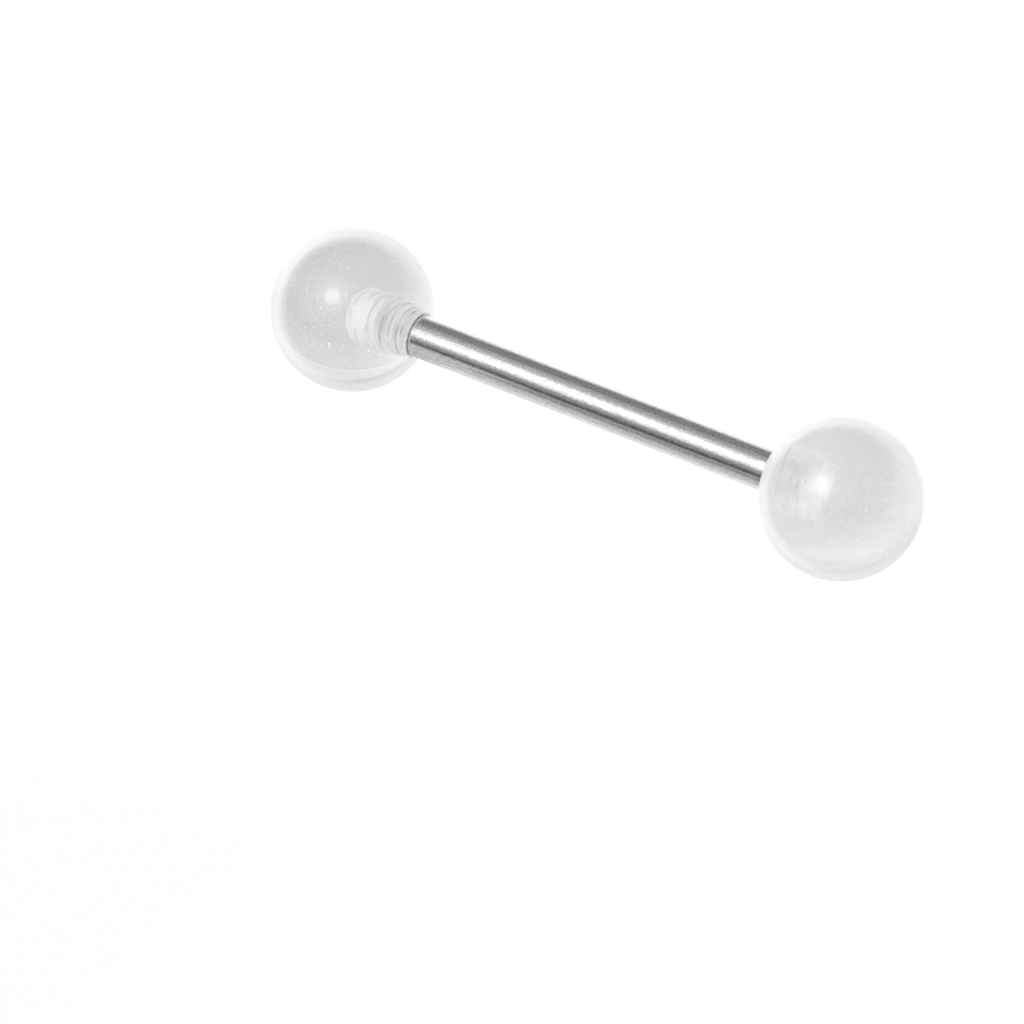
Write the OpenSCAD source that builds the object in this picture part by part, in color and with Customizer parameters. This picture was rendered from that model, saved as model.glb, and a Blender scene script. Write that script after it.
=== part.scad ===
// Straight tongue barbell: a polished steel bar, threaded at both ends, and two clear screw-on balls.
// The bar lies along X with its middle over the origin, and the balls stand on the plane z = 0.

/* [Bar] */
// Diameter of the polished shank
shank_d = 1.6; // [1.4:0.1:2.4]
// Length of the shank from shoulder to shoulder
shank_len = 16; // [8:0.5:24]
// Length over which polishing has eased the edge of each shoulder
ease_len = 0.18; // [0.1:0.02:0.3]
// How far the eased edge falls away at the shoulder, on the radius
ease_drop = 0.05; // [0.02:0.01:0.08]

/* [Thread] */
// Length of each threaded end past its shoulder
thread_len = 1.5; // [1.1:0.1:2]
// Distance from one turn to the next
thread_pitch = 0.35; // [0.25:0.05:0.45]
// Height of a turn from root to crest
thread_height = 0.19; // [0.12:0.01:0.22]
// How far the crests lie inside the shank's surface
crest_drop = 0.05; // [0.02:0.01:0.1]
// Length of the plain neck between the shoulder and the first turn
neck_len = 0.12; // [0.08:0.01:0.2]
// How much the neck stands proud of the roots, on the radius
neck_step = 0.01; // [0.01:0.01:0.03]
// Chamfer round the tip
tip_chamfer = 0.14; // [0.1:0.01:0.2]

/* [Ball] */
// Diameter of each ball
ball_d = 6; // [5:0.25:8]
// Depth of the counterbore that takes the shoulder, below the top of the ball
seat_depth = 0.52; // [0.4:0.02:0.8]
// Depth of the tapped stretch past the tip of the bar
tap_past_tip = 0.2; // [0.1:0.05:0.4]
// Diameter of the drilled end of the hole
drill_d = 1.3; // [1.1:0.05:1.4]
// Length of the drilled end past the tapped stretch
drill_past_tap = 0.68; // [0.5:0.02:1]
// Radius of the rounded corner at the bottom of the hole
drill_round = 0.18; // [0.1:0.02:0.24]

/* [Clearance] */
// Gap between the bar and the hole, on the radius
thread_gap = 0.03; // [0.02:0.01:0.05]
// Gap between each shoulder and the seat it meets
seat_gap = 0.02; // [0.01:0.01:0.05]

/* [Hidden] */

$fn = 96;
// Sides of the thread, and rows of faces along one turn
thread_sides = 20;
rows_per_turn = 8;
// Shares of one turn that are crest and root, and that each flank takes
crest_share = 1 / 8;
root_share = 1 / 4;
flank_share = (1 - crest_share - root_share) / 2;
// Length over which the first turn rises out of the neck
run_in = thread_pitch / 2;
// How far the thread starts inside the neck
neck_overlap = neck_len / 3;
// Small length by which a cut runs past the face it opens
past = 0.2;

ball_r = ball_d / 2;
shank_r = shank_d / 2;
crest_r = shank_r - crest_drop;
root_r = crest_r - thread_height;
neck_r = root_r + neck_step;
tip_r = crest_r - tip_chamfer;
shoulder_x = shank_len / 2;
// Centre of a ball, whose counterbore floor stands a seat gap off the shoulder
ball_x = shoulder_x + seat_gap + ball_r - seat_depth;
// Depths of the hole's stretches below the top of the ball
tap_depth = seat_depth + thread_len + tap_past_tip;
hole_depth = tap_depth + drill_past_tap;
counterbore_r = shank_r + thread_gap;
tapped_r = crest_r + thread_gap;
drill_r = drill_d / 2;

// Height of the thread's profile, 0 at the root and 1 at the crest, for a place counted in turns
function profile(turns) =
    let (f = turns - floor(turns))
    f < crest_share ? 1
    : f < crest_share + flank_share ? 1 - (f - crest_share) / flank_share
    : f < 1 - flank_share ? 0
    : 1 - (1 - f) / flank_share;

// Radius of the thread at a distance past its start and an angle round the bar
function thread_r(x, angle, len) =
    let (rise = min(1, max(0, x - neck_overlap) / run_in))
    min(root_r + thread_height * rise * profile(x / thread_pitch - angle / 360),
        tip_r + (len - x));

// One threaded end as a right-hand helix along +X, closed by a flat face at each end
module thread(len) {
    rows = ceil(len / thread_pitch * rows_per_turn);
    n = thread_sides;
    points = [
        for (i = [0 : rows], j = [0 : n - 1])
            let (x = len * i / rows, a = 360 * j / n, r = thread_r(x, a, len))
            [x, r * cos(a), r * sin(a)]
    ];
    sides = [
        for (i = [0 : rows - 1], j = [0 : n - 1])
            let (k = (j + 1) % n, low = i * n, high = (i + 1) * n)
            each [[low + j, high + j, high + k], [low + j, high + k, low + k]]
    ];
    ends = [
        [for (j = [0 : n - 1]) j],
        [for (j = [n - 1 : -1 : 0]) rows * n + j]
    ];
    polyhedron(points, concat(sides, ends));
}

// Half of the bar's turned outline: the radius across, the distance from the middle upwards
module half_shank() {
    polygon([
        [0, -past],
        [shank_r, -past],
        [shank_r, shoulder_x - ease_len],
        [shank_r - ease_drop, shoulder_x],
        [neck_r, shoulder_x],
        [neck_r, shoulder_x + neck_len],
        [0, shoulder_x + neck_len]
    ]);
}

// The hole's turned outline, with depth counted down from the top of the ball
module hole_outline() {
    polygon([
        [0, past],
        [counterbore_r, past],
        [counterbore_r, -seat_depth],
        [tapped_r, -seat_depth],
        [tapped_r, -tap_depth],
        [drill_r, -tap_depth],
        [drill_r, -hole_depth + drill_round],
        [drill_r - drill_round, -hole_depth],
        [0, -hole_depth]
    ]);
    translate([drill_r - drill_round, -hole_depth + drill_round]) circle(r = drill_round);
}

// A ball centred on the origin with the mouth of its hole towards +Z
module drilled_ball() {
    difference() {
        sphere(r = ball_r);
        translate([0, 0, ball_r]) rotate_extrude() hole_outline();
    }
}

module bar() {
    thread_start = shoulder_x + neck_len - neck_overlap;
    color("silver")
    translate([0, 0, ball_r])
    for (turn = [0, 180]) rotate([0, 0, turn]) {
        rotate([0, 90, 0]) rotate_extrude() half_shank();
        translate([thread_start, 0, 0]) thread(thread_len - neck_len + neck_overlap);
    }
}

module left_ball() {
    color([0.92, 0.93, 0.94, 0.5])
    translate([-ball_x, 0, ball_r]) rotate([0, 90, 0]) drilled_ball();
}

module right_ball() {
    color([0.92, 0.93, 0.94, 0.5])
    translate([ball_x, 0, ball_r]) rotate([0, -90, 0]) drilled_ball();
}

bar();
left_ball();
right_ball();
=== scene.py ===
"""A straight tongue barbell: a polished steel bar and two clear balls that screw on its ends."""

import math

import bmesh
import bpy
from bpy.props import FloatProperty, FloatVectorProperty, IntProperty, PointerProperty
from mathutils import Matrix, Vector


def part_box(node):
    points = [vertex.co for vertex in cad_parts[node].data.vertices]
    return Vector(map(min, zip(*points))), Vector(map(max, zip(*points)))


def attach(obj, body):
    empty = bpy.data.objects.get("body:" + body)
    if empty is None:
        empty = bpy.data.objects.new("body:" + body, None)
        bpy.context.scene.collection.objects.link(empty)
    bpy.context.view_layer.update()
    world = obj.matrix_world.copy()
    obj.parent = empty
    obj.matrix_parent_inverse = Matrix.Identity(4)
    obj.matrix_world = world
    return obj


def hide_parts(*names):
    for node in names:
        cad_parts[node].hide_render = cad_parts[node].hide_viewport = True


bl_info = {
    "name": "Tongue Barbell",
    "version": (1, 0, 0),
    "blender": (4, 5, 0),
    "location": "View3D > Sidebar > Barbell",
    "description": "Makes a steel bar with two clear screw-on balls, and a white table to show it on",
    "category": "Add Mesh",
}

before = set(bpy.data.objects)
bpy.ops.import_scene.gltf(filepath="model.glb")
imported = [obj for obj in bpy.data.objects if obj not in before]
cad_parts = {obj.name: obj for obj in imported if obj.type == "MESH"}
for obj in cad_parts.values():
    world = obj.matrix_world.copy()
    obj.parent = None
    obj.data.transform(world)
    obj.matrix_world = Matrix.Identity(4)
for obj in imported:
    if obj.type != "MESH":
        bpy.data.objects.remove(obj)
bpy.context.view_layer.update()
BAR_LOW, BAR_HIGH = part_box("bar")
BALL_LOW, BALL_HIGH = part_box("right_ball")

MM = 0.001
AXIS_Z = (BAR_LOW.z + BAR_HIGH.z) / 2
BALL_RADIUS = (BALL_HIGH.z - BALL_LOW.z) / 2
BALL_X = BALL_HIGH.x - BALL_RADIUS
TIP_X = BAR_HIGH.x
SHANK_RADIUS = (BAR_HIGH.z - BAR_LOW.z) / 2
# Where the surface of a ball meets the shank
MOUTH_X = BALL_X - math.sqrt(BALL_RADIUS ** 2 - SHANK_RADIUS ** 2)

# Faces round a turned piece, and rows of them along one turn of the thread
SIDES = 160
ROWS_PER_TURN = 20
# Rows along an arc: the outside of a ball, the lip of its hole and the corner at the bottom
BALL_ROWS = 120
LIP_ROWS = 4
CORNER_ROWS = 8
# Shares of one turn of the thread that are crest and root
CREST_SHARE = 0.125
ROOT_SHARE = 0.25
# Length over which a step in an outline rises, so that no face has lost its area
STEP = 1e-7
# Attributes of a mesh: the faces that a tool has cut, and the height of the thread
MACHINED = "machined"
GROOVE = "groove"
# Low and high value of a noise, between which a ramp on it runs
NOISE = (0.3, 0.7)
# Patterns, in grains to the metre along x, y and z. In the steel and in the wall of a hole x is the axis
STREAKS = (160.0, 9000.0, 9000.0)
DASHES = (3500.0, 13000.0, 13000.0)
LINES = (40.0, 16000.0, 16000.0)
STEEL_GRAIN = (11000.0, 13000.0, 13000.0)
PITS = (14000.0, 14000.0, 14000.0)
SWELL = (260.0, 260.0, 260.0)
WEAR = (3000.0, 3000.0, 3000.0)
TOOL_RINGS = (5000.0, 700.0, 700.0)
WALL_GRAIN = (16000.0, 16000.0, 16000.0)
PATCHES = (1700.0, 1700.0, 1700.0)
SPARKLE = (2500.0, 2500.0, 2500.0)
PAPER_GRAIN = (900.0, 900.0, 900.0)
# Heights of the relief in the polished steel, the cut steel, the acrylic and the wall of a hole
POLISHED_RELIEF = 0.0026 * MM
CUT_RELIEF = 0.003 * MM
ACRYLIC_RELIEF = 0.02 * MM
WALL_RELIEF = 0.006 * MM
# How much darker cut steel is than polished steel, at its roots too, and how much rougher
CUT_SHADE = 0.8
ROOT_SHADE = 0.7
CUT_ROUGHNESS = 0.12
# Painted shade at the joint: a dark ring on the shank at a ball's mouth, its inner and outer edge, each
# from the mouth on
JOINT_SHADE_INNER = (MOUTH_X - 0.04 * MM, MOUTH_X)
JOINT_SHADE_OUTER = (MOUTH_X + 0.05 * MM, MOUTH_X + 0.02 * MM)
JOINT_SHADE_LEVEL = 0.4
# How far a ball's surface turns away where its hazy white rim, with a painted glow, starts and where it is
# full, and how strong that painted glow is
HAZE_AND_GLOW_TURN = (0.39, 0.6)
HAZE_GLOW = 0.33
# Distance from the bar's middle over which the hazy white with a painted glow beside a ball's mouth fades
VEIL_AND_GLOW_FADES = (8.5 * MM, 13 * MM)
# Distances over which the painted shade lines on the thread in a hole fade, and over which a painted glow
# rises towards the hole's end
GROOVE_SHADE_FADES = (8.3 * MM, 9.7 * MM)
END_GLOW_RISES = (9.4 * MM, 10.0 * MM)
# Glow in the wall of a hole that is all frost
WALL_GLOW = 0.43
FLECK_GLOW = 0.85
# Angles in degrees past which an edge of the bar and of a ball stays sharp
BAR_SHARP = 50
BALL_SHARP = 40
# Share of a ball's radius inside which flecks are cast
FLECK_ZONE = 0.88


class BarSizes(bpy.types.PropertyGroup):
    """The bar's sizes."""

    shank_diameter: FloatProperty(
        name="Shank Diameter", description="Diameter of the polished shank",
        default=BAR_HIGH.z - BAR_LOW.z, min=0.1 * MM, unit="LENGTH")
    thread_length: FloatProperty(
        name="Thread Length", description="Length of each threaded end past its shoulder",
        default=1.5 * MM, min=0.1 * MM, unit="LENGTH")
    pitch: FloatProperty(
        name="Pitch", description="Distance from one turn of the thread to the next",
        default=0.35 * MM, min=0.05 * MM, unit="LENGTH")
    thread_height: FloatProperty(
        name="Thread Height", description="Height of a turn from root to crest",
        default=0.19 * MM, min=0.01 * MM, unit="LENGTH")
    crest_drop: FloatProperty(
        name="Crest Drop", description="How far the crests lie inside the shank's surface",
        default=0.05 * MM, min=0.0, unit="LENGTH")
    neck_length: FloatProperty(
        name="Neck Length", description="Length of the plain neck between shoulder and first turn",
        default=0.12 * MM, min=0.0, unit="LENGTH")
    ease_length: FloatProperty(
        name="Ease Length", description="Length over which polishing has rounded each shoulder's edge",
        default=0.18 * MM, min=0.01 * MM, unit="LENGTH")
    ease_drop: FloatProperty(
        name="Ease Drop", description="How far the rounded edge falls away at the shoulder",
        default=0.05 * MM, min=0.0, unit="LENGTH")
    tip_chamfer: FloatProperty(
        name="Tip Chamfer", description="Chamfer round the tip",
        default=0.14 * MM, min=0.0, unit="LENGTH")


class BallSizes(bpy.types.PropertyGroup):
    """The balls' sizes."""

    counterbore_radius: FloatProperty(
        name="Counterbore Radius", description="Radius of the counterbore that takes the shoulder",
        default=0.83 * MM, min=0.1 * MM, unit="LENGTH")
    seat_depth: FloatProperty(
        name="Seat Depth", description="Depth of the counterbore below the top of the ball",
        default=0.52 * MM, min=0.1 * MM, unit="LENGTH")
    tapped_radius: FloatProperty(
        name="Tapped Radius", description="Inner radius of the tapped stretch",
        default=0.765 * MM, min=0.1 * MM, unit="LENGTH")
    tap_depth: FloatProperty(
        name="Tap Depth", description="Depth of the tapped stretch below the top of the ball",
        default=2.22 * MM, min=0.1 * MM, unit="LENGTH")
    groove: FloatProperty(
        name="Groove", description="Depth of the thread's groove in the wall of the hole",
        default=0.03 * MM, min=0.0, unit="LENGTH")
    drill_radius: FloatProperty(
        name="Drill Radius", description="Radius of the drilled end of the hole",
        default=0.72 * MM, min=0.1 * MM, unit="LENGTH")
    hole_depth: FloatProperty(
        name="Hole Depth", description="Depth of the whole hole below the top of the ball",
        default=2.9 * MM, min=0.1 * MM, unit="LENGTH")
    corner_radius: FloatProperty(
        name="Corner Radius", description="Radius of the corner at the bottom of the hole",
        default=0.34 * MM, min=0.01 * MM, unit="LENGTH")
    mouth_radius: FloatProperty(
        name="Mouth Rounding", description="Radius of the rounded edge round the mouth of the hole",
        default=0.04 * MM, min=0.001 * MM, unit="LENGTH")
    flecks: IntProperty(
        name="Flecks", description="How many tiny flecks are cast into each ball",
        default=2500, min=0)
    fleck_radius: FloatProperty(
        name="Fleck Radius", description="Radius of the largest flecks",
        default=0.0105 * MM, min=0.001 * MM, unit="LENGTH")
    seed: IntProperty(
        name="Seed", description="Seed of the places and sizes of the flecks",
        default=11, min=0)


class Finishes(bpy.types.PropertyGroup):
    """Colours and polish."""

    steel: FloatVectorProperty(
        name="Steel", description="Colour of the polished steel",
        default=(0.68, 0.675, 0.665), min=0.0, max=1.0, subtype="COLOR")
    steel_roughness: FloatProperty(
        name="Steel Roughness", description="Roughness of the polished shank",
        default=0.11, min=0.0, max=1.0, subtype="FACTOR")
    acrylic: FloatVectorProperty(
        name="Acrylic", description="Colour that the light takes on its way through a ball",
        default=(0.95, 0.95, 0.95), min=0.0, max=1.0, subtype="COLOR")
    acrylic_ior: FloatProperty(
        name="Acrylic IOR", description="Index of refraction of the acrylic",
        default=1.49, min=1.0, max=2.0)
    left_roughness: FloatProperty(
        name="Left Roughness", description="Roughness of the left ball where its polish is most worn",
        default=0.05, min=0.0, max=1.0, subtype="FACTOR")
    right_roughness: FloatProperty(
        name="Right Roughness", description="Roughness of the right ball where its polish is most worn",
        default=0.2, min=0.0, max=1.0, subtype="FACTOR")
    # Shares of hazy white with a painted glow, beside each ball's mouth and round the rim
    left_veil_and_glow: FloatProperty(
        name="Left Veil", description="Share of white haze on the left ball beside its mouth",
        default=0.0, min=0.0, max=1.0, subtype="FACTOR")
    right_veil_and_glow: FloatProperty(
        name="Right Veil", description="Share of white haze on the right ball beside its mouth",
        default=0.3, min=0.0, max=1.0, subtype="FACTOR")
    rim_haze_and_glow: FloatProperty(
        name="Rim Haze", description="Share of white haze where the surface of a ball turns away",
        default=0.75, min=0.0, max=1.0, subtype="FACTOR")
    # The frost shares also set how strong the wall's painted glow is
    left_frost: FloatProperty(
        name="Left Frost", description="Share of white scatter in the wall of the left ball's hole",
        default=0.87, min=0.0, max=1.0, subtype="FACTOR")
    right_frost: FloatProperty(
        name="Right Frost", description="Share of white scatter in the wall of the right ball's hole",
        default=0.8, min=0.0, max=1.0, subtype="FACTOR")


class Studio(bpy.types.PropertyGroup):
    """The table, the light and the camera."""

    azimuth: FloatProperty(
        name="Azimuth", description="Turn of the camera round the part, from the front to the right",
        default=math.radians(32.77), subtype="ANGLE")
    elevation: FloatProperty(
        name="Elevation", description="Height of the camera above the table",
        default=math.radians(37.25), subtype="ANGLE")
    distance: FloatProperty(
        name="Distance", description="Distance from the camera to the point it aims at",
        default=900 * MM, min=10 * MM, unit="LENGTH")
    lens: FloatProperty(
        name="Lens", description="Focal length in millimetres, on a sensor 36 mm wide",
        default=873.8, min=10.0)
    aim_right: FloatProperty(
        name="Aim Right", description="How far right of the bar's middle the camera aims",
        default=-3.028 * MM, unit="LENGTH")
    aim_up: FloatProperty(
        name="Aim Up", description="How far above the bar's middle the camera aims",
        default=-3.926 * MM, unit="LENGTH")
    table_size: FloatProperty(
        name="Table Size", description="Width of the white table",
        default=4.0, min=0.1, unit="LENGTH")


class Value:
    """A socket in an expression. Arithmetic on it adds Math nodes."""

    def __init__(self, graph, socket):
        self.graph = graph
        self.socket = socket

    def math(self, operation, *others):
        return self.graph.value("ShaderNodeMath", {"operation": operation}, {
            place: operand for place, operand in enumerate((self, *others))})

    def flipped(self, operation, other):
        return self.graph.value("ShaderNodeMath", {"operation": operation}, {0: other, 1: self})

    def __add__(self, other):
        return self.math("ADD", other)

    def __radd__(self, other):
        return self.flipped("ADD", other)

    def __sub__(self, other):
        return self.math("SUBTRACT", other)

    def __rsub__(self, other):
        return self.flipped("SUBTRACT", other)

    def __mul__(self, other):
        return self.math("MULTIPLY", other)

    def __rmul__(self, other):
        return self.flipped("MULTIPLY", other)

    def __truediv__(self, other):
        return self.math("DIVIDE", other)

    def __rtruediv__(self, other):
        return self.flipped("DIVIDE", other)

    def ramp(self, low, high, to_low=0.0, to_high=1.0, kind="SMOOTHSTEP"):
        """The value mapped from low and high to the two results, and held past them."""
        return self.graph.value(
            "ShaderNodeMapRange", {"interpolation_type": kind},
            {"Value": self, "From Min": low, "From Max": high, "To Min": to_low, "To Max": to_high})


class Graph:
    """A node tree that is filled by expressions."""

    def __init__(self, tree):
        self.tree = tree

    def node(self, kind, settings=None, sockets=None):
        """Adds a node, makes its settings, then fills its sockets, which are named or counted."""
        made = self.tree.nodes.new(kind)
        for name, setting in (settings or {}).items():
            setattr(made, name, setting)
        for place, filling in (sockets or {}).items():
            socket = self.find(made.inputs, place)
            if isinstance(filling, Value):
                self.tree.links.new(filling.socket, socket)
            else:
                socket.default_value = filling
        return made

    def find(self, sockets, place):
        if isinstance(place, int):
            return [socket for socket in sockets if socket.enabled][place]
        return next(socket for socket in sockets if socket.enabled and socket.name == place)

    def value(self, kind, settings=None, sockets=None, output=0):
        """The output of a new node, as a value for expressions."""
        made = self.node(kind, settings, sockets)
        return Value(self, self.find(made.outputs, output))

    def vector(self, operation, *operands):
        return self.value("ShaderNodeVectorMath", {"operation": operation}, dict(enumerate(operands)))

    def mix(self, factor, first, second, kind="RGBA"):
        return self.value(
            "ShaderNodeMix", {"data_type": kind}, {"Factor": factor, "A": first, "B": second})

    def separate(self, vector):
        made = self.node("ShaderNodeSeparateXYZ", None, {0: vector})
        return [Value(self, output) for output in made.outputs]

    def combine(self, x, y, z):
        return self.value("ShaderNodeCombineXYZ", None, {0: x, 1: y, 2: z})


def geometry_graph(name, inputs):
    """A Geometry Nodes tree with named inputs, and its graph and group input values."""
    tree = bpy.data.node_groups.new(name, "GeometryNodeTree")
    tree.interface.new_socket("Geometry", in_out="INPUT", socket_type="NodeSocketGeometry")
    tree.interface.new_socket("Geometry", in_out="OUTPUT", socket_type="NodeSocketGeometry")
    for title, kind in inputs.items():
        tree.interface.new_socket(title, in_out="INPUT", socket_type=f"NodeSocket{kind}")
    graph = Graph(tree)
    group = graph.node("NodeGroupInput")
    return graph, {socket.name: Value(graph, socket) for socket in group.outputs if socket.name}


def dress(graph, geometry, material, cut_material=None):
    """Ends a tree: instances become real, and the material goes on, with another where machined."""
    real = graph.value("GeometryNodeRealizeInstances", None, {"Geometry": geometry})
    ready = graph.value("GeometryNodeSetMaterial", None, {"Geometry": real, "Material": material})
    if cut_material is not None:
        machined = graph.value(
            "GeometryNodeInputNamedAttribute", {"data_type": "BOOLEAN"}, {"Name": MACHINED})
        ready = graph.value("GeometryNodeSetMaterial", None, {
            "Geometry": ready, "Selection": machined, "Material": cut_material})
    graph.node("NodeGroupOutput", None, {"Geometry": ready})


def thread_tree():
    """Cuts a right-hand thread into a turned blank that lies along X, outside it or in its bore."""
    graph, put = geometry_graph("Cut Thread", {
        "Material": "Material", "Cut Material": "Material", "From": "Float", "To": "Float",
        "Pitch": "Float", "Base Radius": "Float", "Height": "Float", "Run In": "Float",
        "Reach": "Float", "Crest Share": "Float", "Root Share": "Float", "Inside": "Bool"})
    position = graph.value("GeometryNodeInputPosition")
    x, y, z = graph.separate(position)
    radius = graph.vector("LENGTH", graph.combine(0.0, y, z))
    turns = x / put["Pitch"] - z.math("ARCTAN2", y) / math.tau
    wave = (turns.math("FRACT") - 0.5).math("ABSOLUTE") * 2.0
    profile = wave.ramp(put["Root Share"], 1.0 - put["Crest Share"])
    along = x.math("ABSOLUTE")
    rise = ((along - put["From"]) / put["Run In"]).ramp(0.0, 1.0, kind="LINEAR")
    fall = ((put["To"] - along) / put["Run In"]).ramp(0.0, 1.0, kind="LINEAR")
    cut = put["Base Radius"] + put["Height"] * profile * rise * fall
    radius_in = radius.math("MAXIMUM", cut)
    radius_out = radius.math("MINIMUM", cut)
    threaded = graph.value(
        "GeometryNodeSwitch", {"input_type": "FLOAT"},
        {"Switch": put["Inside"], "False": radius_out, "True": radius_in})
    share = threaded / radius
    moved = graph.combine(x, y * share, z * share)
    within = (along.math("GREATER_THAN", put["From"]) * along.math("LESS_THAN", put["To"])
              * radius.math("LESS_THAN", put["Reach"]))
    marked = graph.value("GeometryNodeStoreNamedAttribute", {"data_type": "FLOAT"}, {
        "Geometry": put["Geometry"], "Selection": within, "Name": GROOVE,
        "Value": profile * rise * fall})
    geometry = graph.value("GeometryNodeSetPosition", None, {
        "Geometry": marked, "Selection": within, "Position": moved})
    dress(graph, geometry, put["Material"], put["Cut Material"])
    return graph.tree


def fleck_tree():
    """Scatters tiny flecks through a ball, clear of the hole that enters it from -X."""
    graph, put = geometry_graph("Cast Flecks", {
        "Material": "Material", "Ball Radius": "Float", "Hole Radius": "Float",
        "Hole End": "Float", "Count": "Int", "Fleck Radius": "Float", "Seed": "Int"})

    def random(low, high, offset, kind="FLOAT"):
        seed = graph.value("ShaderNodeMath", {"operation": "ADD"}, {0: put["Seed"], 1: float(offset)})
        return graph.value("FunctionNodeRandomValue", {"data_type": kind}, {
            "Min": low, "Max": high, "Seed": seed})

    points = graph.value("GeometryNodePoints", None, {"Count": put["Count"]})
    direction = graph.vector("NORMALIZE", random((-1.0,) * 3, (1.0,) * 3, 1, "FLOAT_VECTOR"))
    depth = random(0.05, 1.0, 2).math("POWER", 1 / 3)
    place = graph.value(
        "ShaderNodeVectorMath", {"operation": "SCALE"},
        {"Vector": direction, "Scale": depth * put["Ball Radius"]})
    x, y, z = graph.separate(place)
    from_axis = graph.vector("LENGTH", graph.combine(0.0, y, z))
    in_hole = (from_axis.math("LESS_THAN", put["Hole Radius"])
               * x.math("LESS_THAN", put["Hole End"]))
    placed = graph.value("GeometryNodeSetPosition", None, {"Geometry": points, "Position": place})
    kept = graph.value("GeometryNodeDeleteGeometry", None, {"Geometry": placed, "Selection": in_hole})
    fleck = graph.value("GeometryNodeMeshIcoSphere", None, {
        "Radius": put["Fleck Radius"], "Subdivisions": 1})
    size = random(0.0, 1.0, 3).math("POWER", 3.0).ramp(0.0, 1.0, 0.5, 1.0, "LINEAR")
    flecks = graph.value("GeometryNodeInstanceOnPoints", None, {
        "Points": kept, "Instance": fleck, "Scale": size})
    dress(graph, flecks, put["Material"])
    return graph.tree


def grown(thing, tree, inputs):
    """The mesh that a Geometry Nodes tree makes of an object, with the modifier taken off again."""
    modifier = thing.modifiers.new(tree.name, "NODES")
    modifier.node_group = tree
    sockets = {item.name: item.identifier for item in tree.interface.items_tree
               if item.in_out == "INPUT"}
    for name, setting in inputs.items():
        modifier[sockets[name]] = setting
    bpy.context.view_layer.update()
    evaluated = thing.evaluated_get(bpy.context.evaluated_depsgraph_get())
    mesh = bpy.data.meshes.new_from_object(evaluated)
    thing.modifiers.remove(modifier)
    return mesh


def arc(centre, radius, start, end, steps):
    """Points on an arc, with angles in degrees from the first axis to the second."""
    angles = [math.radians(start + (end - start) * step / steps) for step in range(steps + 1)]
    return [(centre[0] + radius * math.cos(a), centre[1] + radius * math.sin(a)) for a in angles]


def steps_between(start, end, spacing):
    """Evenly spaced places after start, up to and with end."""
    count = max(1, math.ceil(abs(end - start) / spacing))
    return [start + (end - start) * step / count for step in range(1, count + 1)]


def turned(name, outline, cut_rows):
    """A solid turned round X from (x, radius) points, whose ends lie on the axis."""
    made = bmesh.new()
    mark = made.faces.layers.bool.new(MACHINED)
    rings = []
    for x, radius in outline:
        if radius < STEP / 100:
            rings.append([made.verts.new((x, 0, 0))] * SIDES)
        else:
            rings.append([
                made.verts.new((x, radius * math.cos(math.tau * side / SIDES),
                                radius * math.sin(math.tau * side / SIDES)))
                for side in range(SIDES)])
    for row, (ring, following) in enumerate(zip(rings, rings[1:])):
        for side in range(SIDES):
            other = (side + 1) % SIDES
            corners = [ring[side], ring[other], following[other], following[side]]
            face = made.faces.new(list(dict.fromkeys(corners)))
            face.smooth = True
            face[mark] = row in cut_rows
    bmesh.ops.recalc_face_normals(made, faces=made.faces)
    mesh = bpy.data.meshes.new(name)
    made.to_mesh(mesh)
    made.free()
    thing = bpy.data.objects.new(name, mesh)
    bpy.context.scene.collection.objects.link(thing)
    return thing


def finish_mesh(thing, mesh, sharp_degrees):
    """Gives an object its final mesh, smooth apart from its sharp edges."""
    mesh.set_sharp_from_angle(angle=math.radians(sharp_degrees))
    mesh.name = thing.name
    thing.data = mesh


def new_material(name):
    """An empty material with its graph and its output node."""
    material = bpy.data.materials.new(name)
    material.use_nodes = True
    material.node_tree.nodes.clear()
    graph = Graph(material.node_tree)
    output = graph.node("ShaderNodeOutputMaterial")
    return material, graph, output


def object_place(graph):
    return graph.value("ShaderNodeTexCoord", None, None, "Object")


def noise(graph, place, scales, detail, roughness=0.5):
    """Noise with a scale for each axis, in grains to the metre."""
    mapped = graph.vector("MULTIPLY", place, scales)
    return graph.value("ShaderNodeTexNoise", None, {
        "Vector": mapped, "Scale": 1.0, "Detail": detail, "Roughness": roughness})


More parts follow.
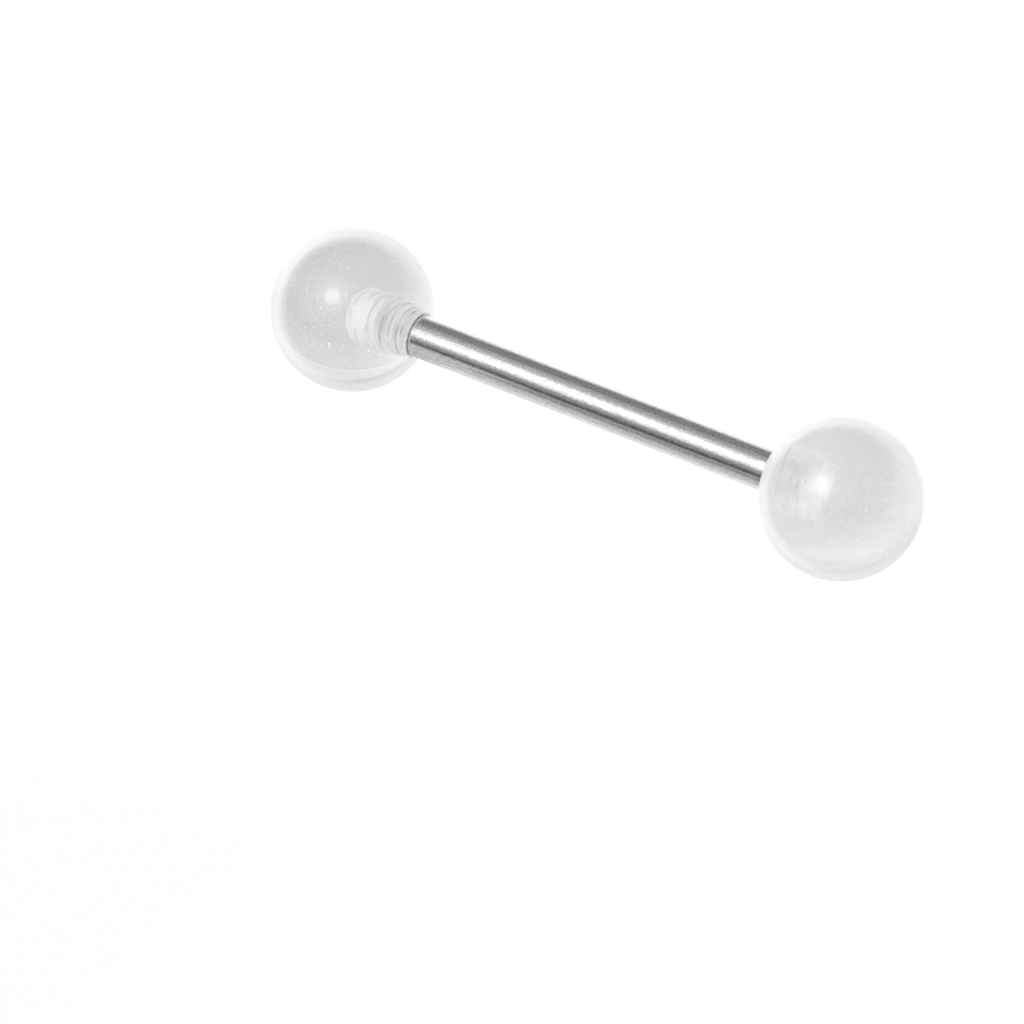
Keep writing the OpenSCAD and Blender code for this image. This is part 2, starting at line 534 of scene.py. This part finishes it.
def steel_material(name, colour, roughness, relief_depth, root_shade):
    """Steel drawn along its length: long streaks, short dashes, fine grain and pits, and a dark ring of
    painted shade at a ball's mouth.
    """
    material, graph, output = new_material(name)
    place = object_place(graph)
    streaks = noise(graph, place, STREAKS, 3.0, 0.6)
    dashes = noise(graph, place, DASHES, 2.0)
    lines = noise(graph, place, LINES, 1.0).ramp(0.52, 0.66)
    grain = noise(graph, place, STEEL_GRAIN, 1.0)
    pits = noise(graph, place, PITS, 2.0).ramp(0.64, 0.74)
    shade = (streaks.ramp(*NOISE, 0.93, 1.05) + grain.ramp(*NOISE, -0.12, 0.12)
             - pits * 0.12 - lines * 0.15)
    along = graph.separate(place)[0].math("ABSOLUTE")
    # Painted shade: a dark ring on the shank at the ball's mouth, broken up by the dashes
    joint_shade = along.ramp(*JOINT_SHADE_INNER) * along.ramp(*JOINT_SHADE_OUTER) * dashes.ramp(0.35, 0.55, 0.5, 1.0)
    shade = shade * joint_shade.ramp(0.0, 1.0, 1.0, JOINT_SHADE_LEVEL)
    groove = graph.value("ShaderNodeAttribute", {"attribute_name": GROOVE}, None, "Fac")
    tint = graph.value("ShaderNodeVectorMath", {"operation": "SCALE"}, {
        "Vector": tuple(colour), "Scale": shade * groove.ramp(0.0, 0.8, root_shade, 1.0)})
    rough = roughness + streaks * 0.05 + pits * 0.25
    relief = streaks * 0.5 + dashes * 1.3 + lines * 0.3 + grain * 0.5 - pits * 0.5
    bump = graph.value("ShaderNodeBump", None, {
        "Strength": 1.0, "Distance": relief_depth, "Height": relief})
    shader = graph.value("ShaderNodeBsdfPrincipled", None, {
        "Base Color": tint, "Metallic": 1.0, "Roughness": rough, "Normal": bump})
    graph.tree.links.new(shader.socket, output.inputs["Surface"])
    return material


def acrylic_material(name, colour, ior, roughness, veil_and_glow, rim_haze_and_glow):
    """Clear cast acrylic, faintly uneven, with a hazy white that carries a painted glow round its rim and
    beside its mouth.
    """
    material, graph, output = new_material(name)
    place = object_place(graph)
    swell = noise(graph, place, SWELL, 1.0)
    wear = noise(graph, place, WEAR, 3.0)
    bump = graph.value("ShaderNodeBump", None, {
        "Strength": 0.35, "Distance": ACRYLIC_RELIEF, "Height": swell})
    tint = graph.mix(wear.ramp(0.4, 0.75), (*colour, 1.0), (*[c * 0.97 for c in colour], 1.0))
    clear = graph.value("ShaderNodeBsdfPrincipled", None, {
        "Base Color": tint, "Roughness": wear.ramp(*NOISE, roughness * 0.4, roughness), "IOR": ior,
        "Transmission Weight": 1.0, "Normal": bump})
    # Hazy white with a painted glow from its emission, mixed in round the rim and beside the mouth
    haze_and_glow = graph.value("ShaderNodeBsdfPrincipled", None, {
        "Base Color": (0.75, 0.75, 0.75, 1.0), "Roughness": 0.5,
        "Emission Color": (1.0, 1.0, 1.0, 1.0), "Emission Strength": HAZE_GLOW, "Normal": bump})
    facing = graph.value("ShaderNodeLayerWeight", None, {"Blend": 0.5}, "Facing")
    along = graph.separate(place)[0].math("ABSOLUTE")
    beside_mouth = along.ramp(*VEIL_AND_GLOW_FADES, veil_and_glow, 0.0)
    amount = facing.ramp(*HAZE_AND_GLOW_TURN, 0.0, rim_haze_and_glow, "LINEAR").math("MAXIMUM", beside_mouth)
    mixed = graph.value("ShaderNodeMixShader", None, {0: amount, 1: clear, 2: haze_and_glow})
    graph.tree.links.new(mixed.socket, output.inputs["Surface"])
    return material


def frosted_material(name, ior, frost):
    """The machined wall of a hole: matt, frosted white with a painted glow that rises towards its end,
    painted shade in lines on the thread's flanks, and a painted bright outline where the wall turns away.
    """
    material, graph, output = new_material(name)
    place = object_place(graph)
    rings = noise(graph, place, TOOL_RINGS, 2.0)
    grain = noise(graph, place, WALL_GRAIN, 2.0)
    bump = graph.value("ShaderNodeBump", None, {
        "Strength": 0.5, "Distance": WALL_RELIEF, "Height": rings + grain * 0.5})
    clear = graph.value("ShaderNodeBsdfPrincipled", None, {
        "Base Color": (0.97, 0.97, 0.97, 1.0), "Roughness": rings.ramp(*NOISE, 0.2, 0.45),
        "IOR": ior, "Transmission Weight": 1.0, "Normal": bump})
    groove = graph.value("ShaderNodeAttribute", {"attribute_name": GROOVE}, None, "Fac")
    flanks = groove.ramp(0.1, 0.5) * groove.ramp(0.9, 0.5)
    patches = noise(graph, place, PATCHES, 2.0).ramp(0.4, 0.62, 0.25, 1.0)
    along = graph.separate(place)[0].math("ABSOLUTE")
    # Painted shade: dark lines on the thread's flanks, fading away from the mouth, that darken the white
    # and dim its painted glow
    painted_groove_shade = flanks * patches * along.ramp(*GROOVE_SHADE_FADES, 1.0, 0.3)
    chalk_and_shade = painted_groove_shade.ramp(0.0, 1.0, 0.86, 0.45)
    glow = painted_groove_shade.ramp(0.0, 1.0, 1.0, 0.2) + along.ramp(*END_GLOW_RISES, 0.0, 0.08)
    white = graph.value("ShaderNodeBsdfPrincipled", None, {
        "Base Color": graph.combine(chalk_and_shade, chalk_and_shade, chalk_and_shade), "Roughness": 0.7,
        "Emission Color": graph.combine(glow, glow, glow),
        "Emission Strength": WALL_GLOW * frost ** 2, "Normal": bump})
    facing = graph.value("ShaderNodeLayerWeight", None, {"Blend": 0.5}, "Facing")
    # Painted bright outline: the share of white rises where the wall turns away
    amount = rings.ramp(0.35, 0.7, frost - 0.25, frost + 0.05) + facing.ramp(0.5, 0.9, 0.0, 0.1)
    mixed = graph.value("ShaderNodeMixShader", None, {0: amount, 1: clear, 2: white})
    graph.tree.links.new(mixed.socket, output.inputs["Surface"])
    return material


def fleck_material(name):
    """White flecks with a painted glow that varies from place to place."""
    material, graph, output = new_material(name)
    place = object_place(graph)
    glow = noise(graph, place, SPARKLE, 1.0).ramp(0.35, 0.65, 0.55, 1.0)
    shader = graph.value("ShaderNodeBsdfPrincipled", None, {
        "Base Color": (0.95, 0.95, 0.95, 1.0), "Roughness": 0.4,
        "Emission Color": graph.combine(glow, glow, glow), "Emission Strength": FLECK_GLOW})
    graph.tree.links.new(shader.socket, output.inputs["Surface"])
    return material


def bar_outline(sizes):
    """The turned blank of the bar from tip to tip, and how many rows at each end are cut."""
    shank = sizes.shank_diameter / 2
    crest = shank - sizes.crest_drop
    root = crest - sizes.thread_height
    shoulder = TIP_X - sizes.thread_length
    spacing = sizes.pitch / ROWS_PER_TURN
    ease = sizes.ease_length
    eased = [(shoulder - ease * (1 - s), shank - sizes.ease_drop * s * s)
             for s in (0.0, 0.2, 0.4, 0.6, 0.8, 1.0)]
    half = [(x, shank) for x in steps_between(0.0, shoulder - ease, 1.0 * MM)][:-1]
    half += eased
    half.append((shoulder, root))
    start = shoulder + sizes.neck_length
    half.append((start, root))
    half.append((start + STEP, crest))
    chamfer = TIP_X - sizes.tip_chamfer
    half += [(x, crest) for x in steps_between(start, chamfer, spacing)]
    half += [(x, crest - (x - chamfer)) for x in steps_between(chamfer, TIP_X, spacing)]
    half.append((TIP_X, 0.0))
    mirrored = [(-x, radius) for x, radius in reversed(half)]
    cut = len(half) - half.index((shoulder, root)) - 1
    return mirrored + [(0.0, shank)] + half, cut


def ball_outline(sizes, pitch):
    """The turned blank of a ball round the origin, its mouth at -X, and the row where its hole starts."""
    edge = math.degrees(math.asin((sizes.counterbore_radius + sizes.mouth_radius) / BALL_RADIUS))
    outside = arc((0.0, 0.0), BALL_RADIUS, 0.0, 180.0 - edge, BALL_ROWS)
    outside[0] = (BALL_RADIUS, 0.0)
    rim_x = outside[-1][0]
    lip = arc((rim_x + sizes.mouth_radius, sizes.counterbore_radius + sizes.mouth_radius),
              sizes.mouth_radius, 180.0, 270.0, LIP_ROWS)[1:]
    seat = -BALL_RADIUS + sizes.seat_depth
    tap_end = -BALL_RADIUS + sizes.tap_depth
    bottom = -BALL_RADIUS + sizes.hole_depth
    spacing = pitch / ROWS_PER_TURN
    hole = [(x, sizes.counterbore_radius) for x in steps_between(lip[-1][0], seat, spacing * 3)]
    hole.append((seat, sizes.tapped_radius))
    hole += [(x, sizes.tapped_radius) for x in steps_between(seat, tap_end, spacing)]
    hole.append((tap_end, sizes.drill_radius))
    hole += [(x, sizes.drill_radius) for x in steps_between(
        tap_end, bottom - sizes.corner_radius, spacing * 2)]
    corner = (bottom - sizes.corner_radius, sizes.drill_radius - sizes.corner_radius)
    rounded = arc((corner[1], corner[0]), sizes.corner_radius, 0.0, 90.0, CORNER_ROWS)[1:]
    hole += [(x, r) for r, x in rounded]
    hole += [(bottom, corner[1] * share) for share in (0.66, 0.33, 0.0)]
    return outside + lip + hole, len(outside) + len(lip) - 1


class BARBELL_OT_bar(bpy.types.Operator):
    """Turn, thread and polish the bar"""

    bl_idname = "barbell.bar"
    bl_label = "Make Bar"

    def execute(self, context):
        sizes = context.scene.barbell_bar
        finishes = context.scene.barbell_finishes
        outline, cut = bar_outline(sizes)
        rows = len(outline) - 1
        bar = turned("polished_bar", outline, {*range(cut), *range(rows - cut, rows)})
        crest = sizes.shank_diameter / 2 - sizes.crest_drop
        mesh = grown(bar, thread_tree(), {
            "Material": steel_material(
                "polished_steel", finishes.steel, finishes.steel_roughness, POLISHED_RELIEF, 1.0),
            "Cut Material": steel_material(
                "cut_steel", [c * CUT_SHADE for c in finishes.steel],
                finishes.steel_roughness + CUT_ROUGHNESS, CUT_RELIEF, ROOT_SHADE),
            "From": TIP_X - sizes.thread_length + sizes.neck_length / 2,
            "To": TIP_X + sizes.pitch,
            "Pitch": sizes.pitch,
            "Base Radius": crest - sizes.thread_height,
            "Height": sizes.thread_height,
            "Run In": sizes.pitch / 2,
            "Reach": sizes.shank_diameter,
            "Crest Share": CREST_SHARE,
            "Root Share": ROOT_SHARE,
            "Inside": False,
        })
        mesh.transform(Matrix.Translation((0, 0, AXIS_Z)))
        finish_mesh(bar, mesh, BAR_SHARP)
        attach(bar, "bar")
        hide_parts("bar")
        return {"FINISHED"}


class BARBELL_OT_balls(bpy.types.Operator):
    """Cast, drill and tap both balls"""

    bl_idname = "barbell.balls"
    bl_label = "Make Balls"

    def execute(self, context):
        sizes = context.scene.barbell_balls
        bar = context.scene.barbell_bar
        finishes = context.scene.barbell_finishes
        white = fleck_material("cast_flecks")
        cutter = thread_tree()
        caster = fleck_tree()
        polish = {
            "right_ball": (finishes.right_roughness, finishes.right_veil_and_glow, finishes.right_frost),
            "left_ball": (finishes.left_roughness, finishes.left_veil_and_glow, finishes.left_frost)}
        for turn, (node, (roughness, veil_and_glow, frost)) in enumerate(polish.items()):
            clear = acrylic_material(
                f"acrylic_{node}", finishes.acrylic, finishes.acrylic_ior, roughness, veil_and_glow,
                finishes.rim_haze_and_glow)
            frosted = frosted_material(f"machined_{node}", finishes.acrylic_ior, frost)
            outline, hole_row = ball_outline(sizes, bar.pitch)
            ball = turned(f"clear_{node}", outline, range(hole_row, len(outline)))
            mesh = grown(ball, cutter, {
                "Material": clear,
                "Cut Material": frosted,
                "From": BALL_RADIUS - sizes.tap_depth + bar.pitch / 4,
                "To": BALL_RADIUS - sizes.seat_depth,
                "Pitch": bar.pitch,
                "Base Radius": sizes.tapped_radius,
                "Height": sizes.groove,
                "Run In": bar.pitch / 2,
                "Reach": sizes.tapped_radius * 1.01,
                "Crest Share": CREST_SHARE,
                "Root Share": ROOT_SHARE,
                "Inside": True,
            })
            flecks = grown(ball, caster, {
                "Material": white,
                "Ball Radius": BALL_RADIUS * FLECK_ZONE,
                "Hole Radius": sizes.counterbore_radius + sizes.fleck_radius * 2,
                "Hole End": -BALL_RADIUS + sizes.hole_depth + sizes.fleck_radius * 2,
                "Count": sizes.flecks,
                "Fleck Radius": sizes.fleck_radius,
                "Seed": sizes.seed + turn,
            })
            mesh.materials.append(white)
            both = bmesh.new()
            both.from_mesh(mesh)
            first_fleck = len(both.faces)
            both.from_mesh(flecks)
            both.faces.ensure_lookup_table()
            for face in both.faces[first_fleck:]:
                face.material_index = len(mesh.materials) - 1
            both.to_mesh(mesh)
            both.free()
            place = Matrix.Translation((BALL_X, 0, AXIS_Z))
            mesh.transform(Matrix.Rotation(math.pi * turn, 4, "Z") @ place)
            finish_mesh(ball, mesh, BALL_SHARP)
            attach(ball, node)
            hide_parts(node)
        return {"FINISHED"}


class BARBELL_OT_studio(bpy.types.Operator):
    """Lay the white table, light it softly and set up the camera"""

    bl_idname = "barbell.studio"
    bl_label = "Set Up Studio"

    def execute(self, context):
        studio = context.scene.barbell_studio
        lay_table(studio)
        light_world(context.scene)
        place_camera(context.scene, studio)
        context.scene.view_settings.view_transform = "Standard"
        context.scene.view_settings.look = "None"
        context.scene.cycles.use_denoising = True
        return {"FINISHED"}


def ray_kinds(graph):
    """Whether a ray comes from the camera, and whether it comes from a reflection."""
    rays = graph.node("ShaderNodeLightPath")
    seen, glossy, refracted = [Value(graph, rays.outputs[name]) for name in (
        "Is Camera Ray", "Is Glossy Ray", "Is Transmission Ray")]
    return seen, glossy * (1.0 - refracted)


# Places on the table where its light changes, each from where the change starts to where it is full.
# x runs along the bar, and y from the front to the back
BETWEEN_BALLS_X = (9 * MM, 6.5 * MM)
LEFT_X = (15 * MM, 0.0)
FRONT_Y = (-8 * MM, -28 * MM)
NEAR_FRONT_Y = (-1 * MM, -8 * MM)
UNDER_BAR_Y = (-3.5 * MM, 0.0)
BEHIND_BAR_Y = (3 * MM, 6 * MM)
FAR_BACK_Y = (20 * MM, 45 * MM)
# Shade and glow of the paper, and of its dim stretch at the left front
PAPER_SHADE, DIM_SHADE = 0.25, 0.1
PAPER_GLOW, DIM_GLOW = 0.55, 0.05
# Share of the glow that stays near the front of the bar
NEAR_SHARE = 0.4
# Glow that is added round the bar, in full only as reflections see it, and behind it for them alone
BAR_GLOW = 0.38
PASSED_SHARE = 0.45
MIRRORED_GLOW = 0.6
FAR_GLOW = 0.15
# The white that the camera sees in place of most of the paper
GLARE = 1.15
GLARE_SHARE = 0.85


def lay_table(studio):
    half = studio.table_size / 2
    mesh = bpy.data.meshes.new("white_table")
    corners = [(-half, -half, 0), (half, -half, 0), (half, half, 0), (-half, half, 0)]
    mesh.from_pydata(corners, [], [(0, 1, 2, 3)])
    table = bpy.data.objects.new("white_table", mesh)
    bpy.context.scene.collection.objects.link(table)
    material, graph, output = new_material("lit_paper")
    place = object_place(graph)
    x, y = graph.separate(place)[:2]
    seen, reflected = ray_kinds(graph)
    grain = noise(graph, place, PAPER_GRAIN, 2.0)
    between = x.math("ABSOLUTE").ramp(*BETWEEN_BALLS_X)
    dim = y.ramp(*FRONT_Y) * x.ramp(*LEFT_X)
    near = between * y.ramp(*NEAR_FRONT_Y)
    shade = dim.ramp(0.0, 1.0, PAPER_SHADE, DIM_SHADE) * grain.ramp(*NOISE, 0.97, 1.0)
    glow = (dim.ramp(0.0, 1.0, PAPER_GLOW, DIM_GLOW) * near.ramp(0.0, 1.0, 1.0, NEAR_SHARE)
            + y.ramp(*FAR_BACK_Y, 0.0, FAR_GLOW)
            + reflected.ramp(0.0, 1.0, PASSED_SHARE, 1.0) * between * y.ramp(*UNDER_BAR_Y, 0.0, BAR_GLOW)
            + reflected * y.ramp(*BEHIND_BAR_Y, 0.0, MIRRORED_GLOW))
    paper = graph.value("ShaderNodeBsdfPrincipled", None, {
        "Base Color": graph.combine(shade, shade, shade), "Roughness": 0.8, "Specular IOR Level": 0.0,
        "Emission Color": graph.combine(glow, glow, glow), "Emission Strength": 1.0})
    glare = graph.value("ShaderNodeEmission", None, {"Strength": GLARE})
    mixed = graph.value("ShaderNodeMixShader", None, {0: seen * GLARE_SHARE, 1: paper, 2: glare})
    graph.tree.links.new(mixed.socket, output.inputs["Surface"])
    mesh.materials.append(material)


# Bands of light round the bar's axis: the angle in degrees from the front over the top to the back,
# and the brightness there, as reflections see it and as all else does
REFLECTED_BANDS = [(0, 0.05), (14, 0.08), (45, 0.34), (110, 0.34), (135, 0.28), (168, 1.4), (180, 1.4)]
LIGHT_BANDS = [(0, 0.36), (160, 0.36), (172, 0.8), (180, 0.8)]
# The softbox: the direction towards its middle, then for each of its layers the angles in degrees from
# the middle at which it ends and is full, and its brightness
SOFTBOX_DIRECTION = (-0.134, -0.655, 0.744)
SOFTBOX_LAYERS = [(14.5, 0, 4.7), (29.5, 8.5, 1.35), (60, 0, 0.6)]


def light_bands(angle, bands):
    """The brightness at an angle that passes through all the bands."""
    bright = bands[0][1]
    for (low, first), (high, second) in zip(bands, bands[1:]):
        bright = bright + angle.ramp(float(low), float(high), 0.0, second - first)
    return bright


def light_world(scene):
    """A room in bands of light, dark at the front and white at the back, with a softbox above the front."""
    world = bpy.data.worlds.new("white_room")
    world.use_nodes = True
    world.node_tree.nodes.clear()
    graph = Graph(world.node_tree)
    direction = graph.value("ShaderNodeTexCoord", None, None, "Generated")
    x, y, z = graph.separate(direction)
    angle = z.math("ARCTAN2", 0.0 - y) * (180 / math.pi)
    seen, reflected = ray_kinds(graph)
    bright = graph.mix(
        reflected, light_bands(angle, LIGHT_BANDS), light_bands(angle, REFLECTED_BANDS), "FLOAT")
    towards = graph.vector("DOT_PRODUCT", direction, Vector(SOFTBOX_DIRECTION).normalized())
    for end, full, peak in SOFTBOX_LAYERS:
        bright = bright + towards.ramp(
            math.cos(math.radians(end)), math.cos(math.radians(full)), 0.0, peak)
    strength = graph.mix(seen, bright, 1.0, "FLOAT")
    background = graph.value("ShaderNodeBackground", None, {
        "Color": (1.0, 1.0, 1.0, 1.0), "Strength": strength})
    output = graph.node("ShaderNodeOutputWorld")
    graph.tree.links.new(background.socket, output.inputs["Surface"])
    scene.world = world


def place_camera(scene, studio):
    """The camera at the picture's angle, aimed a little off the bar's middle."""
    sine, cosine = math.sin(studio.azimuth), math.cos(studio.azimuth)
    high, level = math.sin(studio.elevation), math.cos(studio.elevation)
    back = Vector((sine * level, -cosine * level, high))
    right = Vector((cosine, sine, 0.0))
    up = back.cross(right)
    aim = Vector((0.0, 0.0, AXIS_Z)) + right * studio.aim_right + up * studio.aim_up
    lens = bpy.data.cameras.new("camera")
    lens.lens = studio.lens
    lens.sensor_width = 36.0
    lens.clip_start = 1 * MM
    lens.clip_end = 10.0
    camera = bpy.data.objects.new("camera", lens)
    camera.location = aim + back * studio.distance
    camera.rotation_mode = "QUATERNION"
    camera.rotation_quaternion = (-back).to_track_quat("-Z", "Y")
    scene.collection.objects.link(camera)
    scene.camera = camera


class BARBELL_PT_panel(bpy.types.Panel):
    """Buttons for each piece and for the studio"""

    bl_idname = "BARBELL_PT_panel"
    bl_label = "Tongue Barbell"
    bl_space_type = "VIEW_3D"
    bl_region_type = "UI"
    bl_category = "Barbell"

    def draw(self, context):
        for operator in OPERATORS:
            self.layout.operator(operator.bl_idname)


SETTINGS = {
    "barbell_bar": BarSizes,
    "barbell_balls": BallSizes,
    "barbell_finishes": Finishes,
    "barbell_studio": Studio,
}
OPERATORS = [BARBELL_OT_studio, BARBELL_OT_bar, BARBELL_OT_balls]


def register():
    for kind in [*SETTINGS.values(), *OPERATORS, BARBELL_PT_panel]:
        bpy.utils.register_class(kind)
    for name, kind in SETTINGS.items():
        setattr(bpy.types.Scene, name, PointerProperty(type=kind))


def unregister():
    for name in SETTINGS:
        delattr(bpy.types.Scene, name)
    for kind in reversed([*SETTINGS.values(), *OPERATORS, BARBELL_PT_panel]):
        bpy.utils.unregister_class(kind)


def main():
    register()
    bpy.ops.barbell.studio()
    bpy.ops.barbell.bar()
    bpy.ops.barbell.balls()


if __name__ == "__main__":
    main()
